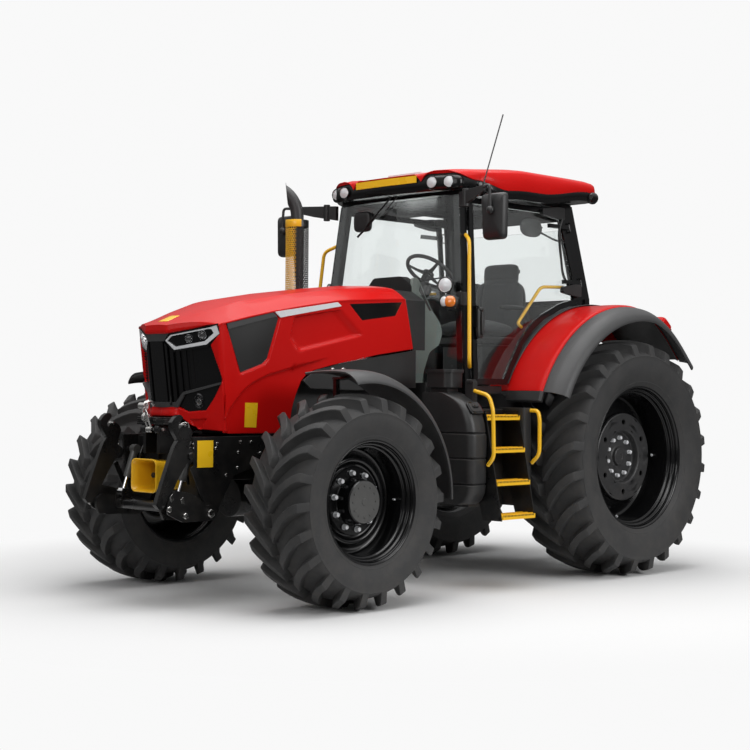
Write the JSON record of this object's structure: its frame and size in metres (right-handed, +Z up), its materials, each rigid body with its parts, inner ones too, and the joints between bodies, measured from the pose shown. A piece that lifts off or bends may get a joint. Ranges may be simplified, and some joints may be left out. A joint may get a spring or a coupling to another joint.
{
  "type": "four-wheel-drive farm tractor",
  "caption": "Four-wheel-drive farm tractor with tilting hood, glazed cab with opening doors, steered front wheels, folding front linkage and rear three-point linkage.",
  "frame": {"origin": "on the ground at the middle of the tractor's length and width", "axes": "+X to the tractor's left, +Y to its rear, +Z up; it faces -Y"},
  "size_m": [2.6, 5.102, 3.5068],
  "materials": {
    "red_paint": "gloss",
    "black_plastic": "satin",
    "black_steel": "satin",
    "cylinder_chrome": "polished",
    "stack_black": "satin",
    "yellow_paint": "satin",
    "glass": "clear",
    "tyre_rubber": "matt",
    "rim_paint": "gloss",
    "seat_fabric": "woven"
  },
  "bodies": {
    "chassis": {"antenna": "black_steel", "battery_box": "black_plastic", "cab_floor": "black_steel", "cab_frame": "black_steel", "dashboard": "black_plastic", "engine_block": "black_steel", "engine_cowl": "black_plastic", "exhaust_pipe": "stack_black", "exhaust_shield": "yellow_paint", "fender_lips": "black_plastic", "front_axle": "black_steel", "front_frame": "black_steel", "front_hitch_frame": "black_steel", "fuel_tank": "black_plastic", "ladder_frames": "black_steel", "mirrors": "black_plastic", "pto_guard": "yellow_paint", "rear_axle": "black_steel", "rear_fenders": "red_paint", "rear_hitch_frame": "black_steel", "roof_base": "black_plastic", "roof_shell": "red_paint", "seat_backrest": "seat_fabric", "seat_base": "black_plastic", "seat_cushion": "seat_fabric", "side_console": "black_plastic", "steps_and_rails": "yellow_paint", "transmission": "black_steel", "windscreen": "glass"},
    "hood": {"hood_shell": "red_paint", "grille": "black_plastic"},
    "door_left": {"door_left": "black_steel", "door_glass_left": "glass"},
    "door_right": {"door_right": "black_steel", "door_glass_right": "glass"},
    "rear_window": {"rear_window": "glass"},
    "steering_wheel": {"steering_wheel": "black_plastic"},
    "knuckle_left": {"knuckle_left": "black_steel", "front_fender_left": "black_plastic"},
    "knuckle_right": {"knuckle_right": "black_steel", "front_fender_right": "black_plastic"},
    "tie_rod": {"tie_rod": "black_steel"},
    "wheel_front_left": {"tyre_front_left": "tyre_rubber", "rim_front_left": "rim_paint"},
    "wheel_front_right": {"tyre_front_right": "tyre_rubber", "rim_front_right": "rim_paint"},
    "wheel_rear_left": {"tyre_rear_left": "tyre_rubber", "rim_rear_left": "rim_paint"},
    "wheel_rear_right": {"tyre_rear_right": "tyre_rubber", "rim_rear_right": "rim_paint"},
    "front_lift": {"front_lift_arms": "black_steel"},
    "front_hook_left": {"front_hook_left": "black_steel"},
    "front_hook_right": {"front_hook_right": "black_steel"},
    "front_cylinder_barrels": {"front_cylinder_barrels": "black_steel"},
    "front_cylinder_rods": {"front_cylinder_rods": "cylinder_chrome"},
    "rear_lift": {"rear_lift_arms": "black_steel"},
    "lower_links": {"lower_link_left": "black_steel", "lower_link_right": "black_steel"},
    "lift_rods": {"lift_rods": "black_steel"}
  },
  "joints": [
    {"name": "hood_lift", "type": "hinge", "parent": "chassis", "child": "hood", "pos_m": [0, -0.402, 2.194], "axis": [-1, 0, 0], "range_deg": [0, 45]},
    {"name": "door_left_swing", "type": "hinge", "parent": "chassis", "child": "door_left", "pos_m": [0.80205, 1.25, 2.24703], "axis": [-0.0471, -0.2632, 0.9636], "range_deg": [0, 75]},
    {"name": "door_right_swing", "type": "hinge", "parent": "chassis", "child": "door_right", "pos_m": [-0.80205, 1.25, 2.24703], "axis": [-0.0471, 0.2632, -0.9636], "range_deg": [0, 75]},
    {"name": "rear_window_tilt", "type": "hinge", "parent": "chassis", "child": "rear_window", "pos_m": [0, 1.2065, 2.8995], "axis": [1, 0, 0], "range_deg": [0, 35]},
    {"name": "steer_left", "type": "hinge", "parent": "chassis", "child": "knuckle_left", "pos_m": [0.8, -1.52, 0.705], "axis": [0, 0, 1], "range_deg": [-30, 30]},
    {"name": "steer_right", "type": "hinge", "parent": "chassis", "child": "knuckle_right", "pos_m": [-0.8, -1.52, 0.705], "axis": [0, 0, 1], "range_deg": [-30, 30]},
    {"name": "tie_rod_swing", "type": "hinge", "parent": "knuckle_left", "child": "tie_rod", "pos_m": [0.8, -1.32, 0.65], "axis": [0, 0, 1], "range_deg": [-30, 30]},
    {"name": "steering_wheel_turn", "type": "hinge", "parent": "chassis", "child": "steering_wheel", "pos_m": [0, 0.345, 2.37], "axis": [0, 0.6079, 0.794], "range_deg": [-480, 480]},
    {"name": "wheel_front_left_spin", "type": "hinge", "parent": "knuckle_left", "child": "wheel_front_left", "pos_m": [1, -1.52, 0.705], "axis": [1, 0, 0], "continuous": true},
    {"name": "wheel_front_right_spin", "type": "hinge", "parent": "knuckle_right", "child": "wheel_front_right", "pos_m": [-1, -1.52, 0.705], "axis": [1, 0, 0], "continuous": true},
    {"name": "wheel_rear_left_spin", "type": "hinge", "parent": "chassis", "child": "wheel_rear_left", "pos_m": [0.98, 1.43, 0.922], "axis": [1, 0, 0], "continuous": true},
    {"name": "wheel_rear_right_spin", "type": "hinge", "parent": "chassis", "child": "wheel_rear_right", "pos_m": [-0.98, 1.43, 0.922], "axis": [1, 0, 0], "continuous": true},
    {"name": "front_lift_lower", "type": "hinge", "parent": "chassis", "child": "front_lift", "pos_m": [0, -2.19, 0.63], "axis": [1, 0, 0], "range_deg": [0, 25]},
    {"name": "front_hook_left_fold", "type": "hinge", "parent": "front_lift", "child": "front_hook_left", "pos_m": [0.39, -2.49, 0.66], "axis": [1, 0, 0], "range_deg": [0, 90]},
    {"name": "front_hook_right_fold", "type": "hinge", "parent": "front_lift", "child": "front_hook_right", "pos_m": [-0.39, -2.49, 0.66], "axis": [1, 0, 0], "range_deg": [0, 90]},
    {"name": "front_cylinder_tilt", "type": "hinge", "parent": "chassis", "child": "front_cylinder_barrels", "pos_m": [0, -2.27, 1.02], "axis": [1, 0, 0], "range_deg": [-2, 6]},
    {"name": "front_cylinder_stroke", "type": "slide", "parent": "front_cylinder_barrels", "child": "front_cylinder_rods", "axis": [0, -0.326, -0.9454], "range_m": [0, 0.115]},
    {"name": "rear_lift_raise", "type": "hinge", "parent": "chassis", "child": "rear_lift", "pos_m": [0, 1.63, 1.25], "axis": [1, 0, 0], "range_deg": [-20, 30]},
    {"name": "lower_links_raise", "type": "hinge", "parent": "chassis", "child": "lower_links", "pos_m": [0, 1.68, 0.62], "axis": [1, 0, 0], "range_deg": [-20, 30]},
    {"name": "lift_rods_swing", "type": "hinge", "parent": "rear_lift", "child": "lift_rods", "pos_m": [0, 2, 1.23], "axis": [1, 0, 0], "range_deg": [-30, 20]}
  ],
  "couplings": [
    {"joint": "steer_right", "follows": "steer_left", "ratio": 1},
    {"joint": "tie_rod_swing", "follows": "steer_left", "ratio": -1},
    {"joint": "steering_wheel_turn", "follows": "steer_left", "ratio": 16},
    {"joint": "front_cylinder_tilt", "follows": "front_lift_lower", "ratio": 0.004},
    {"joint": "front_cylinder_stroke", "follows": "front_lift_lower", "m_per_rad": 0.205},
    {"joint": "lower_links_raise", "follows": "rear_lift_raise", "ratio": 1},
    {"joint": "lift_rods_swing", "follows": "rear_lift_raise", "ratio": -1}
  ]
}
